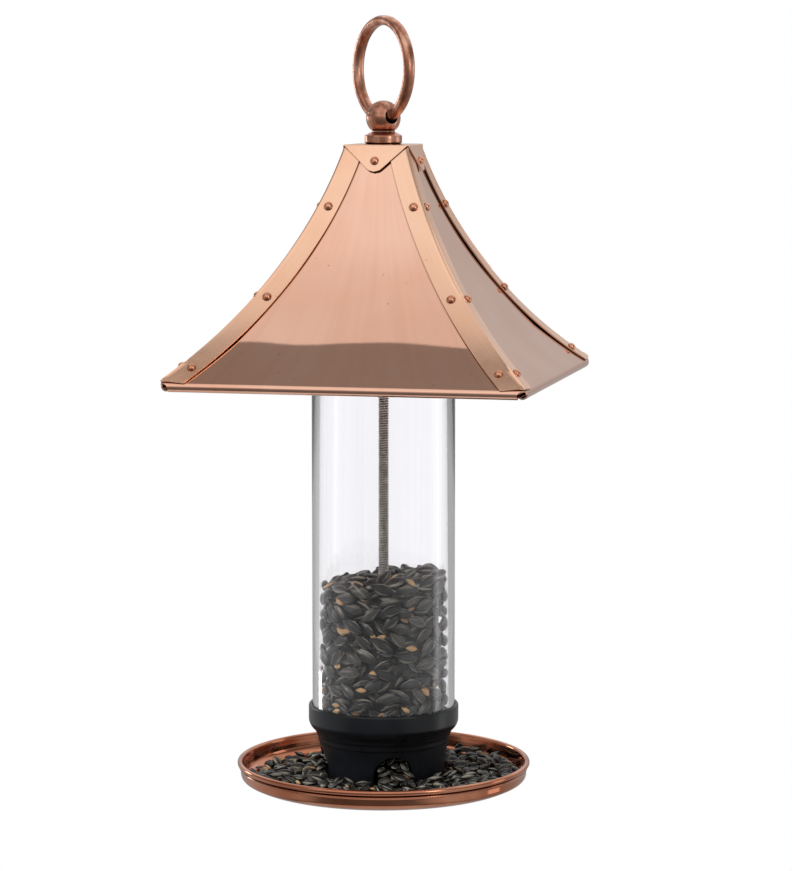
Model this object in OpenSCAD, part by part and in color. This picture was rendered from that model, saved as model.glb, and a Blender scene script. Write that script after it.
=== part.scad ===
// Hanging bird feeder: ring and turned finial, square flared roof, clear seed tube on a
// threaded rod, ported hopper base and round seed tray.
// Millimetres, +Z up. Origin: where the ring hangs, inside the top of the ring.

/* [Ring] */
// Mean radius of the ring
ring_mean_r = 21.2; // [15:0.1:30]
// Radius of the ring wire
ring_wire_r = 2.3; // [1.5:0.1:4]
// Direction of the ring seen from above, degrees from +X
ring_dir = -45; // [-90:1:90]

/* [Finial] */
// Radius of the ball
ball_r = 7.6; // [6:0.1:12]
// Radius of the cross hole through the ball
eye_hole_r = 3.15; // [2:0.05:4]
// Height of the cross hole's axis above the ball's centre
eye_rise = 0.6; // [0:0.1:2]
// Radius of the groove under the ball
neck_r = 5.3; // [4:0.1:7]
// Radius of the foot that sits on the cap
foot_r = 8.2; // [6:0.1:12]
// Depth of the blind rod hole from the foot's face
finial_bore_depth = 7.4; // [4:0.1:9]

/* [Roof] */
// Distance from the origin down to the top of the cap
cap_drop = 51.5; // [45:0.1:70]
// Thickness of the copper sheet
sheet_t = 0.7; // [0.4:0.1:1.5]
// Half width of the hip ridge at the cap's level
roof_top_half = 13.68; // [10:0.01:20]
// Radius of the hollow sweep of the roof
sweep_r = 203.3; // [150:0.1:300]
// Slope of the roof at its top, degrees from vertical
top_slope = 16.56; // [5:0.01:30]
// Length of the cap's flaps
flap_drop = 11.5; // [8:0.1:16]
// Radius of the flaps' round tips
flap_tip_r = 4.8; // [3:0.1:7]
// Drop of the flap rivets below the cap
flap_rivet_drop = 7.2; // [4:0.1:10]
// Drop of the hip strips' lower ends below the cap
strip_end_drop = 98.4; // [90:0.1:105]
// Width of each strip wing at the top
strip_w_top = 8.6; // [6:0.1:12]
// Width of each strip wing at the eaves
strip_w_low = 11.4; // [8:0.1:15]
// Gap between strip and panel
lay_gap = 0.2; // [0.1:0.05:0.5]
// Half distance between the centres of opposite eaves rolls
hem_half = 74.8; // [70:0.1:80]
// Drop of the eaves roll below the cap
hem_drop = 99.85; // [95:0.05:105]
// Outer radius of the eaves roll
hem_r = 2.5; // [1.5:0.1:4]

/* [Rivets] */
// Radius of a rivet head
rivet_head_r = 1.9; // [1.2:0.1:3]
// Height of a rivet head
rivet_head_h = 1.1; // [0.6:0.1:2]
// Radius of a rivet shank
rivet_r = 1.2; // [0.8:0.1:2]

/* [Rod] */
// Radius over the rod's thread
rod_r = 2.413; // [2:0.001:4]
// Running clearance round the rod
run_gap = 0.06; // [0.02:0.01:0.1]
// Across flats of both nuts
nut_af = 9.5; // [8:0.1:13]
// Height of both nuts
nut_h = 3.2; // [2:0.1:5]
// Radius of the seat washer under the cap
washer_r = 6.4; // [5:0.1:9]
// Thickness of both washers
washer_t = 1.0; // [0.6:0.1:2]

/* [Tube] */
// Outer radius of the seed tube
tube_r = 31.75; // [25:0.05:40]
// Wall of the seed tube
tube_wall = 3.175; // [2:0.005:5]
// Height of the tube above the collar's top
tube_above = 186; // [160:1:190]

/* [Base] */
// Distance from the origin down to the collar's top
collar_drop = 300.2; // [280:0.1:320]
// Outer radius of the collar
collar_r = 33.45; // [32.5:0.05:36]
// Depth of the tube's seat below the collar's top
seat_depth = 10.2; // [6:0.1:14]
// Height of the base
base_h = 35; // [30:0.1:40]
// Outer radius at the base's foot
foot_base_r = 26.6; // [24:0.1:29]
// Direction of the first feed port, degrees from -Y towards +X
port_dir = 22.5; // [0:0.5:90]
// Width of each feed port
port_w = 17.5; // [12:0.1:22]
// Drop of each port's crown below the collar's top
port_top = 19; // [17:0.1:24]
// Height of the sill under each port
port_sill = 3; // [1:0.1:6]

/* [Tray] */
// Outer radius of the tray over its rolled rim
tray_r = 65.4; // [60:0.1:75]
// Radius of the rolled rim
rim_roll_r = 1.7; // [1:0.1:3]
// Drop of the rim's centre below the collar's top
rim_drop = 27.1; // [24:0.1:32]
// Radius of the tray's flat bottom
tray_flat_r = 58.6; // [50:0.1:62]
// Radius of the raised boss in the middle
boss_r = 13; // [10:0.1:20]
// Height of the raised boss
boss_h = 6; // [4:0.1:9]

/* [Seed] */
// Height of the seed in the tube above the collar's top
seed_above = 54; // [0:1:150]
// Depth of the seed in the tray beside the base
heap_h = 6.2; // [2:0.1:6.4]

/* [View] */
// Which piece to show

/* [Hidden] */
$fn = 96;
ring_z = ring_wire_r - ring_mean_r;
ball_z = -ring_mean_r * 2 + ring_wire_r;
cap_z = -cap_drop;
collar_z = -collar_drop;
foot_z = collar_z - base_h;
// every roof layer is swept about the same line outside each side
sweep_out = roof_top_half + sweep_r * cos(top_slope);
sweep_z = cap_z + sweep_r * sin(top_slope);
panel_face_r = sweep_r + sheet_t + lay_gap;
panel_back_r = panel_face_r + sheet_t;
flap_face_r = sweep_r - 0.1 - sheet_t;
flap_back_r = sweep_r - 0.1;
head_seat_r = sweep_r - 0.03;
rivet_drops = [26.5, 64.5, 93.2];
rivet_insets = [4.7, 5.9, 6.3];
dome_r = (rivet_head_r * rivet_head_r + rivet_head_h * rivet_head_h) / (2 * rivet_head_h);
bore_r = rod_r + run_gap;
rod_top = cap_z + finial_bore_depth - 0.5;
rod_low = foot_z - 0.2;
washer_z = foot_z + boss_h - sheet_t;
tube_in_r = tube_r - tube_wall;
copper = [0.80, 0.52, 0.38];
aged = [0.48, 0.30, 0.22];
steel = [0.72, 0.72, 0.70];
black = [0.10, 0.10, 0.11];
clear = [0.86, 0.90, 0.94, 0.35];
seed = [0.16, 0.15, 0.15];

// Slope of the roof, degrees from vertical, a given drop below the cap.
function slope_at(drop) = asin(sin(top_slope) + drop / sweep_r);
// Half width of the hip ridge a given drop below the cap.
function half_at(drop) = sweep_out - sweep_r * cos(slope_at(drop));

// Round bar along one side's sweep line; side 0 is the front, then right, back, left.
module sweep_bar(side, r) {
    rotate([0, 0, 90 * side]) translate([0, -sweep_out, sweep_z])
        rotate([0, 90, 0]) cylinder(r = r, h = 420, center = true, $fn = 240);
}

// Slab between two drops, as wide as the roof.
module slab(d0, d1) {
    translate([-88, -88, cap_z - d1]) cube([176, 176, d1 - d0]);
}

// Swept roof body between two drops whose faces lie at radius r about the sweep lines.
module swept_body(r, d0, d1) {
    difference() {
        slab(d0, d1);
        for (side = [0 : 3]) sweep_bar(side, r);
    }
}

// Swept sheet between a face and a back radius.
module swept_sheet(face_r, back_r, d0, d1) {
    difference() {
        swept_body(face_r, d0, d1);
        swept_body(back_r, d0 - 1, d1 + 1);
    }
}

// Places children on a side's face: +Y points into the roof, origin on the ridge layer.
module on_face(side, u, drop) {
    rotate([0, 0, 90 * side]) translate([u, -sweep_out, sweep_z])
        rotate([-slope_at(drop), 0, 0]) translate([0, sweep_r, 0]) children();
}

// One domed rivet through two sheets, head outwards.
module rivet(face_r) {
    translate([0, face_r - sweep_r, 0]) rotate([-90, 0, 0]) {
        intersection() {
            translate([0, 0, dome_r - rivet_head_h]) sphere(r = dome_r, $fn = 48);
            translate([0, 0, -rivet_head_h - 1]) cylinder(r = dome_r + 1, h = rivet_head_h + 1);
        }
        translate([0, 0, -0.2]) cylinder(r = rivet_r, h = panel_back_r - face_r + 0.7, $fn = 32);
        translate([0, 0, panel_back_r - face_r + 0.05])
            cylinder(r = rivet_r + 0.5, h = 0.7, $fn = 32);
    }
}

// Clearance hole for one rivet.
module rivet_hole() {
    translate([0, -3, 0]) rotate([-90, 0, 0])
        cylinder(r = rivet_r + 0.05, h = 9, $fn = 32);
}

// Children at the six rivet places of one hip.
module at_hip_rivets(hip) {
    for (i = [0 : 2]) {
        on_face(hip, half_at(rivet_drops[i]) - rivet_insets[i], rivet_drops[i]) children();
        on_face(hip + 1, rivet_insets[i] - half_at(rivet_drops[i]), rivet_drops[i]) children();
    }
}

// Hex nut standing on z = 0.
module hex_nut() {
    difference() {
        intersection() {
            cylinder(r = nut_af / 2 / cos(30), h = nut_h, $fn = 6);
            translate([0, 0, -0.8]) cylinder(r1 = nut_af / 2 + 2, r2 = nut_af / 2 - 0.2,
                h = nut_h + 0.8);
            cylinder(r1 = nut_af / 2 - 0.1, r2 = nut_af / 2 + 4.0, h = nut_h + 0.8);
        }
        translate([0, 0, -1]) cylinder(r = bore_r, h = nut_h + 2, $fn = 48);
    }
}

// Flat washer standing on z = 0.
module flat_washer(r) {
    difference() {
        cylinder(r = r, h = washer_t);
        translate([0, 0, -1]) cylinder(r = bore_r, h = washer_t + 2, $fn = 48);
    }
}

// Closed ring, threaded through the finial's ball.
module hanging_ring() {
    color(aged) translate([0, 0, ring_z]) rotate([0, 0, ring_dir]) rotate([90, 0, 0])
        rotate_extrude($fn = 128) translate([ring_mean_r, 0]) circle(r = ring_wire_r, $fn = 40);
}

// Turned ball, groove and foot with a cross hole and a blind rod hole.
module finial() {
    z0 = cap_z;
    color(aged) difference() {
        union() {
            translate([0, 0, ball_z]) sphere(r = ball_r);
            translate([0, 0, z0 + 4.5]) cylinder(r = neck_r, h = 4.5);
            translate([0, 0, z0 + 3.4]) cylinder(r1 = foot_r, r2 = foot_r - 2.2, h = 1.6);
            translate([0, 0, z0 + 0.7]) cylinder(r = foot_r, h = 2.7);
            translate([0, 0, z0]) cylinder(r1 = foot_r - 0.6, r2 = foot_r, h = 0.7);
        }
        translate([0, 0, ball_z + eye_rise]) rotate([0, 0, ring_dir]) rotate([0, 90, 0])
            cylinder(r = eye_hole_r, h = 40, center = true, $fn = 64);
        translate([0, 0, z0 - 1]) cylinder(r = bore_r, h = finial_bore_depth + 1, $fn = 48);
    }
}

// Square cap with four tongue-shaped flaps folded down the sides.
module roof_cap() {
    tip_z = flap_tip_r - flap_drop;
    reach = sqrt(roof_top_half * roof_top_half + tip_z * tip_z);
    lean = atan2(-tip_z, roof_top_half) - acos(flap_tip_r / reach);
    tx = flap_tip_r * cos(lean);
    tz = tip_z + flap_tip_r * sin(lean);
    half = half_at(0) + 1.2;
    color(copper) difference() {
        union() {
            swept_body(flap_face_r, 0, sheet_t);
            intersection() {
                swept_sheet(flap_face_r, flap_back_r, 0, flap_drop + 1);
                union() for (side = [0 : 3]) rotate([0, 0, 90 * side])
                    intersection() {
                        translate([0, 0, cap_z]) rotate([90, 0, 0])
                            linear_extrude(height = 40) union() {
                                polygon([[-half, 1], [-half, 0], [-tx, tz],
                                    [tx, tz], [half, 0], [half, 1]]);
                                translate([0, tip_z]) circle(r = flap_tip_r, $fn = 64);
                            }
                        translate([0, 0, cap_z - 20]) linear_extrude(height = 24)
                            polygon([[0, 0], [-40, -40], [40, -40]]);
                    }
            }
        }
        translate([0, 0, cap_z - 5]) cylinder(r = bore_r, h = 10, $fn = 48);
        for (side = [0 : 3]) on_face(side, 0, flap_rivet_drop) rivet_hole();
    }
}

// One swept side of the roof with its rolled eaves edge.
module roof_panel(side) {
    color(copper) difference() {
        intersection() {
            union() {
                swept_sheet(panel_face_r, panel_back_r, sheet_t + 0.3, 98);
                rotate([0, 0, 90 * side]) translate([0, -hem_half, cap_z - hem_drop])
                    rotate([0, 90, 0]) difference() {
                        cylinder(r = hem_r, h = 170, center = true, $fn = 48);
                        cylinder(r = hem_r - sheet_t, h = 172, center = true, $fn = 48);
                    }
            }
            rotate([0, 0, 90 * side]) translate([0, -0.2, cap_z - 110])
                linear_extrude(height = 112) polygon([[0, 0], [-88, -88], [88, -88]]);
        }
        on_face(side, 0, flap_rivet_drop) rivet_hole();
        for (i = [0 : 2]) {
            on_face(side, half_at(rivet_drops[i]) - rivet_insets[i], rivet_drops[i])
                rivet_hole();
            on_face(side, rivet_insets[i] - half_at(rivet_drops[i]), rivet_drops[i])
                rivet_hole();
        }
    }
}

// Folded cover strip over the seam between side `hip` and the next one.
module hip_strip(hip) {
    color(copper) difference() {
        intersection() {
            swept_sheet(sweep_r, sweep_r + sheet_t, sheet_t + 0.2, strip_end_drop);
            rotate([0, 0, 90 * hip]) translate([0, 0, cap_z - 110])
                linear_extrude(height = 112) polygon([
                    [8 - strip_w_top, -8], [86 - strip_w_low, -86], [86, -86],
                    [86, -86 + strip_w_low], [8, -8 + strip_w_top]]);
        }
        at_hip_rivets(hip) rivet_hole();
    }
}

// The six rivets of one hip strip.
module hip_rivets(hip) {
    color(copper) at_hip_rivets(hip) rivet(head_seat_r);
}

// One rivet through each flap of the cap.
module cap_rivets() {
    color(copper) for (side = [0 : 3])
        on_face(side, 0, flap_rivet_drop) rivet(flap_face_r - 0.03);
}

// Rod from the finial down through the cap, tube, base and tray.
module center_rod() {
    color(steel) translate([0, 0, rod_low]) {
        cylinder(r1 = rod_r - 0.5, r2 = rod_r, h = 0.5, $fn = 48);
        translate([0, 0, 0.5]) cylinder(r = rod_r, h = rod_top - rod_low - 1, $fn = 48);
        translate([0, 0, rod_top - rod_low - 0.5])
            cylinder(r1 = rod_r, r2 = rod_r - 0.5, h = 0.5, $fn = 48);
    }
}

// Washer the cap rests on.
module roof_seat_washer() {
    color(steel) translate([0, 0, cap_z - sheet_t - washer_t]) flat_washer(washer_r);
}

// Nut under the seat washer.
module roof_seat_nut() {
    color(steel) translate([0, 0, cap_z - sheet_t - washer_t]) rotate([180, 0, 0]) hex_nut();
}

// Clear seed tube, open at both ends.
module feed_tube() {
    color(clear) translate([0, 0, collar_z - seat_depth]) difference() {
        cylinder(r = tube_r, h = seat_depth + tube_above, $fn = 128);
        translate([0, 0, -1]) cylinder(r = tube_in_r, h = seat_depth + tube_above + 2, $fn = 128);
    }
}

// Opening tool for one arched feed port, pointing to -Y.
module port_cut() {
    spring = port_top + port_w / 2;
    translate([0, 0, collar_z]) rotate([90, 0, 0]) linear_extrude(height = 40) union() {
        translate([0, -spring]) circle(r = port_w / 2, $fn = 64);
        translate([-port_w / 2, port_sill - base_h]) square([port_w, base_h - port_sill - spring]);
    }
}

// Moulded base: collar that seats the tube, four arched ports, hub and four webs.
module feeder_base() {
    hub_top = collar_z - 24;
    hub_low = foot_z + boss_h;
    color(black) union() {
        difference() {
            translate([0, 0, collar_z]) rotate_extrude($fn = 128) polygon([
                [tube_r + 0.15, 0], [collar_r - 0.5, 0], [collar_r, -0.5],
                [collar_r, -7.4], [collar_r - 0.5, -9.2], [collar_r - 1.7, -10.9],
                [30.3, -12.1], [30.2, -13], [29.3, -14], [29.2, -16.2],
                [28.6, -16.8], [foot_base_r, -base_h],
                [foot_base_r - 2.4, -base_h], [26.2, -15], [tube_in_r - 0.2, -seat_depth],
                [tube_r + 0.15, -seat_depth]]);
            for (k = [0 : 3]) rotate([0, 0, port_dir + 90 * k]) translate([0, -10, 0]) port_cut();
        }
        difference() {
            union() {
                translate([0, 0, hub_low]) cylinder(r = 7, h = hub_top - hub_low);
                for (k = [0 : 3]) rotate([0, 0, port_dir + 45 + 90 * k])
                    translate([5, -1.25, hub_low]) cube([20.4, 2.5, hub_top - hub_low]);
            }
            translate([0, 0, hub_low - 1]) cylinder(r = bore_r, h = 20, $fn = 48);
        }
    }
}

// Spun tray with a rolled rim and a raised boss that hides the nut.
module tray() {
    wall_r = tray_r - rim_roll_r - 1.4;
    color(copper) translate([0, 0, foot_z]) difference() {
        union() {
            rotate_extrude($fn = 160) polygon([
                [1, boss_h], [boss_r - 2.5, boss_h], [boss_r, 0.6], [boss_r + 0.8, 0],
                [tray_flat_r, 0], [wall_r - 1.6, 1.4], [wall_r - 0.5, 3.4],
                [wall_r, base_h - rim_drop - 0.5],
                [wall_r + sheet_t, base_h - rim_drop - 0.5],
                [wall_r - 0.5 + sheet_t, 3.0], [wall_r - 1.2 + sheet_t, 0.8],
                [tray_flat_r + 0.6, -sheet_t],
                [boss_r + 0.4, -sheet_t], [boss_r - 0.7, 0], [boss_r - 3, boss_h - sheet_t],
                [1, boss_h - sheet_t]]);
            translate([0, 0, base_h - rim_drop]) rotate_extrude($fn = 160)
                translate([tray_r - rim_roll_r, 0]) circle(r = rim_roll_r, $fn = 40);
        }
        translate([0, 0, -2]) cylinder(r = bore_r, h = boss_h + 4, $fn = 48);
    }
}

// Washer in the recess under the boss.
module tray_washer() {
    color(steel) translate([0, 0, washer_z - washer_t]) flat_washer(washer_r);
}

// Nut that holds the tray and base on the rod.
module tray_nut() {
    color(steel) translate([0, 0, washer_z - washer_t]) rotate([180, 0, 0]) hex_nut();
}

// Sunflower seed standing in the tube.
module tube_seed() {
    r = tube_in_r - 0.1;
    color(seed) translate([0, 0, collar_z]) difference() {
        union() {
            translate([0, 0, -seat_depth]) cylinder(r = r - 0.3, h = 0.5);
            translate([0, 0, 0.4 - seat_depth]) cylinder(r = r, h = seed_above - 5 + seat_depth);
            translate([0, 0, seed_above - 4.7]) cylinder(r1 = r, r2 = 12, h = 4.7);
        }
        translate([0, 0, -seat_depth - 1]) cylinder(r = bore_r, h = seed_above + seat_depth + 9);
    }
}

// Sunflower seed heaped in the tray round the base.
module tray_seed() {
    color(seed) translate([0, 0, foot_z]) rotate_extrude($fn = 128) polygon([
        [foot_base_r + 0.8, 0.05], [foot_base_r + 0.8, heap_h], [38, 4.0],
        [58, 1.8], [58.4, 0.3], [58, 0.05]]);
}

hanging_ring();
finial();
roof_cap();
roof_panel(0);  // roof_panel_front
roof_panel(1);  // roof_panel_right
roof_panel(2);  // roof_panel_back
roof_panel(3);  // roof_panel_left
hip_strip(0);  // hip_strip_front_right
hip_strip(1);  // hip_strip_back_right
hip_strip(2);  // hip_strip_back_left
hip_strip(3);  // hip_strip_front_left
hip_rivets(0);  // hip_rivets_front_right
hip_rivets(1);  // hip_rivets_back_right
hip_rivets(2);  // hip_rivets_back_left
hip_rivets(3);  // hip_rivets_front_left
cap_rivets();
center_rod();
roof_seat_washer();
roof_seat_nut();
feed_tube();
feeder_base();
tray();
tray_washer();
tray_nut();
tube_seed();
tray_seed();
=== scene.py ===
import math
import random

import bmesh
import bpy
import numpy as np
from mathutils import Matrix, Vector, noise


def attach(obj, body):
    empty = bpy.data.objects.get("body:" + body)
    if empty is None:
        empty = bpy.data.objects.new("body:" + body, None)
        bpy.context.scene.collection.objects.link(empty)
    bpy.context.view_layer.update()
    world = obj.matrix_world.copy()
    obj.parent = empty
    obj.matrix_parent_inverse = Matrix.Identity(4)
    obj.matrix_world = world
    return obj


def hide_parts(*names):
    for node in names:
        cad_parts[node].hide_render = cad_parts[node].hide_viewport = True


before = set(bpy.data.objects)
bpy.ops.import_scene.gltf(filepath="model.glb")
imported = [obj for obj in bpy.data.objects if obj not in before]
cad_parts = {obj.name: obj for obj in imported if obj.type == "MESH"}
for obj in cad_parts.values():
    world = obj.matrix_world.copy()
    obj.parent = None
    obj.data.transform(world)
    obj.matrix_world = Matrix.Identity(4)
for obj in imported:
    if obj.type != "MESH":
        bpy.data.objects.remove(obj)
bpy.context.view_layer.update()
print("frame loaded,", len(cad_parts), "nodes")

# Pieces are shaped in millimetres, and makePiece turns them to metres.
# Heights count from the point where the ring hangs, so all of the feeder is below zero.
levels = {"ball": -40.1, "capTop": -51.5, "collarTop": -300.2, "baseFoot": -335.2}


# mesh helpers

def makePiece(bm, name, material, body, nodes=(), smoothAngle=38, turnOut=True):
    bmesh.ops.scale(bm, vec=(0.001, 0.001, 0.001), verts=bm.verts)
    if turnOut:
        bmesh.ops.recalc_face_normals(bm, faces=bm.faces)
    mesh = bpy.data.meshes.new(name)
    bm.to_mesh(mesh)
    bm.free()
    mesh.shade_smooth()
    mesh.set_sharp_from_angle(angle=math.radians(smoothAngle))
    mesh.materials.append(material)
    piece = bpy.data.objects.new(name, mesh)
    bpy.context.scene.collection.objects.link(piece)
    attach(piece, body)
    if nodes:
        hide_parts(*nodes)
    print("made", name, "with", len(mesh.polygons), "faces")
    return piece


def roundCorners(corners, steps=4):
    # corners are (radius, height, fillet); a fillet of 0 keeps the corner sharp
    points = []
    count = len(corners)
    for i, (r, z, fillet) in enumerate(corners):
        here = Vector((r, z))
        if fillet <= 0:
            points.append(here)
            continue
        before = (Vector(corners[i - 1][:2]) - here)
        after = (Vector(corners[(i + 1) % count][:2]) - here)
        reach = min(fillet, before.length * 0.48, after.length * 0.48)
        start = here + before.normalized() * reach
        end = here + after.normalized() * reach
        for k in range(steps + 1):
            t = k / steps
            points.append(start * (1 - t) ** 2 + here * 2 * t * (1 - t) + end * t * t)
    return points


def lathe(bm, points, steps=96, closed=True):
    # spins a half section of (radius, height) points round Z
    verts = [bm.verts.new((p[0], 0, p[1])) for p in points]
    pairs = list(zip(verts, verts[1:])) + ([(verts[-1], verts[0])] if closed else [])
    edges = [bm.edges.new(pair) for pair in pairs]
    made = bmesh.ops.spin(bm, geom=verts + edges, cent=(0, 0, 0), axis=(0, 0, 1), dvec=(0, 0, 0),
                          angle=math.tau, steps=steps, use_merge=True, use_duplicate=False)
    bmesh.ops.remove_doubles(bm, verts=bm.verts, dist=0.0005)
    return made


def addModifier(piece, kind, **settings):
    modifier = piece.modifiers.new(kind.title(), kind)
    for key, value in settings.items():
        setattr(modifier, key, value)
    return modifier


def bake(piece):
    # turns a piece's modifiers into its mesh
    depsgraph = bpy.context.evaluated_depsgraph_get()
    mesh = bpy.data.meshes.new_from_object(piece.evaluated_get(depsgraph))
    piece.modifiers.clear()
    piece.data = mesh


def thicken(piece, sheet):
    # gives a sheet its thickness on the inside, with crisp cut edges
    addModifier(piece, "SOLIDIFY", thickness=sheet / 1000, offset=-1.0)
    bake(piece)
    piece.data.shade_smooth()
    piece.data.set_sharp_from_angle(angle=math.radians(38))
    return piece


def cutWith(piece, cutterBm):
    # takes a cutter's shape out of a piece and throws the cutter away
    bmesh.ops.scale(cutterBm, vec=(0.001, 0.001, 0.001), verts=cutterBm.verts)
    bmesh.ops.recalc_face_normals(cutterBm, faces=cutterBm.faces)
    mesh = bpy.data.meshes.new("cutter")
    cutterBm.to_mesh(mesh)
    cutterBm.free()
    cutter = bpy.data.objects.new("cutter", mesh)
    bpy.context.scene.collection.objects.link(cutter)
    addModifier(piece, "BOOLEAN", operation="DIFFERENCE", solver="EXACT", object=cutter)
    bake(piece)
    bpy.data.objects.remove(cutter)
    bpy.data.meshes.remove(mesh)


# material helpers

def hexColor(code):
    channels = [int(code[i:i + 2], 16) / 255 for i in (0, 2, 4)]
    return tuple(c / 12.92 if c <= 0.04045 else ((c + 0.055) / 1.055) ** 2.4
                 for c in channels) + (1.0,)


def grey(level):
    return (level, level, level, 1)


def addNode(tree, kind, settings=None, values=None, links=None):
    node = tree.nodes.new(kind)
    for key, value in (settings or {}).items():
        setattr(node, key, value)
    for key, value in (values or {}).items():
        node.inputs[key].default_value = value
    for key, source in (links or {}).items():
        tree.links.new(source, node.inputs[key])
    return node


def startMaterial(name, **shader):
    material = bpy.data.materials.new(name)
    material.use_nodes = True
    tree = material.node_tree
    tree.nodes.clear()
    values = {key.replace("_", " "): value for key, value in shader.items()}
    surface = addNode(tree, "ShaderNodeBsdfPrincipled", values=values)
    addNode(tree, "ShaderNodeOutputMaterial", links={"Surface": surface.outputs[0]})
    coords = addNode(tree, "ShaderNodeTexCoord")
    return material, tree, surface, coords


def addRamp(tree, source, stops):
    ramp = addNode(tree, "ShaderNodeValToRGB", links={"Fac": source})
    while len(ramp.color_ramp.elements) > 1:
        ramp.color_ramp.elements.remove(ramp.color_ramp.elements[0])
    first = ramp.color_ramp.elements[0]
    first.position, first.color = stops[0]
    for place, color in stops[1:]:
        ramp.color_ramp.elements.new(place).color = color
    return ramp.outputs["Color"]


def addNoise(tree, place, scale, detail, **more):
    values = {"Scale": scale, "Detail": detail, **more}
    return addNode(tree, "ShaderNodeTexNoise", values=values,
                   links={"Vector": place}).outputs["Fac"]


def stretched(tree, place, scale):
    return addNode(tree, "ShaderNodeMapping", values={"Scale": scale},
                   links={"Vector": place}).outputs[0]


def roughBetween(tree, surface, source, low, high):
    # roughness runs from low to high as the noise goes from dark to light
    rough = addNode(tree, "ShaderNodeMapRange",
                    values={"From Min": 0.3, "From Max": 0.7, "To Min": low, "To Max": high},
                    links={"Value": source})
    tree.links.new(rough.outputs[0], surface.inputs["Roughness"])


def addRelief(tree, surface, source, strength, distance=0.0002):
    relief = addNode(tree, "ShaderNodeBump", values={"Strength": strength, "Distance": distance},
                     links={"Height": source})
    tree.links.new(relief.outputs[0], surface.inputs["Normal"])


def mixColors(tree, amount, first, second, **settings):
    # amount is a socket or a plain value, second a socket or a hex colour
    mix = addNode(tree, "ShaderNodeMix", settings={"data_type": "RGBA", **settings},
                  links={6: first})
    if isinstance(amount, float):
        mix.inputs[0].default_value = amount
    else:
        tree.links.new(amount, mix.inputs[0])
    if isinstance(second, str):
        mix.inputs[7].default_value = hexColor(second)
    else:
        tree.links.new(second, mix.inputs[7])
    return mix.outputs[2]


def creviceShadeAndGrime(tree, surface, cleanColor, seamShadeAndGrime, reach):
    # painted shade: an ambient occlusion node darkens the colour where two pieces meet or a hollow
    # closes in, within reach (metres) of the seam
    hidden = addNode(tree, "ShaderNodeAmbientOcclusion", settings={"samples": 8},
                     values={"Distance": reach})
    mask = addRamp(tree, hidden.outputs["AO"], [(0.45, grey(0.88)), (0.85, grey(0))])
    tree.links.new(mixColors(tree, mask, cleanColor, seamShadeAndGrime), surface.inputs["Base Color"])


# the seam colour (5A3022) is painted shade, laid into the seams by the ambient occlusion node
copperLook = {
    "light": "F8C8B0", "deep": "EFB498", "tarnish": "9A5B42", "seamShadeAndGrime": "5A3022",
    "patchMm": 70.0, "speckMm": 9.0, "handlingMm": 22.0, "rollingMm": 0.9,
    "streaksAcross": 34.0, "roughLow": 0.045, "roughHigh": 0.085, "creviceMm": 1.5,
}


def sheetCopper(name, look):
    # Polished copper sheet, rolled, bent and riveted by hand: bright and nearly mirror-like,
    # with faint rolling lines and streaks down the sheet, handling smears, a few tarnish
    # specks, and painted shade that darkens the seams.
    material, tree, surface, coords = startMaterial(name, Metallic=1.0)
    place = coords.outputs["Object"]
    patches = addNoise(tree, place, 1000 / look["patchMm"], 3.0)
    tint = addRamp(tree, patches, [(0.35, hexColor(look["light"])), (0.72, hexColor(look["deep"]))])
    specks = addNode(tree, "ShaderNodeTexVoronoi",
                     values={"Scale": 1000 / look["speckMm"], "Randomness": 1.0},
                     links={"Vector": place})
    spot = addRamp(tree, specks.outputs["Distance"], [(0.0, grey(0.55)), (0.075, grey(0))])
    color = mixColors(tree, spot, tint, look["tarnish"])
    drawn = stretched(tree, coords.outputs["UV"], (look["streaksAcross"], 3.0, 1.0))
    streakTone = addRamp(tree, addNoise(tree, drawn, 1.0, 3.0),
                         [(0.34, hexColor("EFE2DA")), (0.58, hexColor("FFFFFF"))])
    worn = mixColors(tree, 0.2, color, streakTone, blend_type="MULTIPLY")
    # painted shade: the ambient occlusion node darkens the seams between panels, strips, rivets and
    # cap
    creviceShadeAndGrime(tree, surface, worn, look["seamShadeAndGrime"], look["creviceMm"] / 1000)
    smears = addNoise(tree, place, 1000 / look["handlingMm"], 5.0, Roughness=0.6, Distortion=0.6)
    roughBetween(tree, surface, smears, look["roughLow"], look["roughHigh"])
    addRelief(tree, surface, addNoise(tree, place, 1000 / look["rollingMm"], 2.0), 0.02)
    return material


# the hollow colour (2C1A15) is the antique finish left in the hollows, and painted shade as well
agedLook = {"bright": "EDB89E", "brown": "BC8068", "dark": "754837", "seamShadeAndGrime": "2C1A15",
            "streakMm": 6.0, "grainMm": 0.8}


def agedCopper(name, look):
    # Cast brass with an antiqued copper plating, brushed by hand: soft lighter and darker
    # streaks, brown to nearly black in the hollows, where the finish stays and where painted shade
    # is added.
    material, tree, surface, coords = startMaterial(name, Metallic=1.0)
    place = coords.outputs["Object"]
    brushed = stretched(tree, place, (1.0, 1.0, 0.35))
    mottle = addNoise(tree, brushed, 1000 / look["streakMm"], 5.0, Roughness=0.6)
    tint = addRamp(tree, mottle, [(0.3, hexColor(look["dark"])), (0.48, hexColor(look["brown"])),
                                  (0.66, hexColor(look["bright"]))])
    # the ambient occlusion node darkens the hollows: partly the antique finish left there, partly
    # painted shade
    creviceShadeAndGrime(tree, surface, tint, look["seamShadeAndGrime"], 0.0022)
    roughBetween(tree, surface, mottle, 0.38, 0.24)
    addRelief(tree, surface, addNoise(tree, place, 1000 / look["grainMm"], 3.0), 0.12, 0.0003)
    return material


def zincSteel(name):
    # Zinc-plated steel rod and nuts: grey, a little dull, faintly blotched.
    material, tree, surface, coords = startMaterial(name, Metallic=1.0)
    blotch = addNoise(tree, coords.outputs["Object"], 420.0, 4.0)
    tint = addRamp(tree, blotch, [(0.3, hexColor("84837F")), (0.7, hexColor("BAB8B2"))])
    # painted shade where rod, nuts and washers meet
    creviceShadeAndGrime(tree, surface, tint, "24231F", 0.0005)
    roughBetween(tree, surface, blotch, 0.3, 0.45)
    return material


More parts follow.
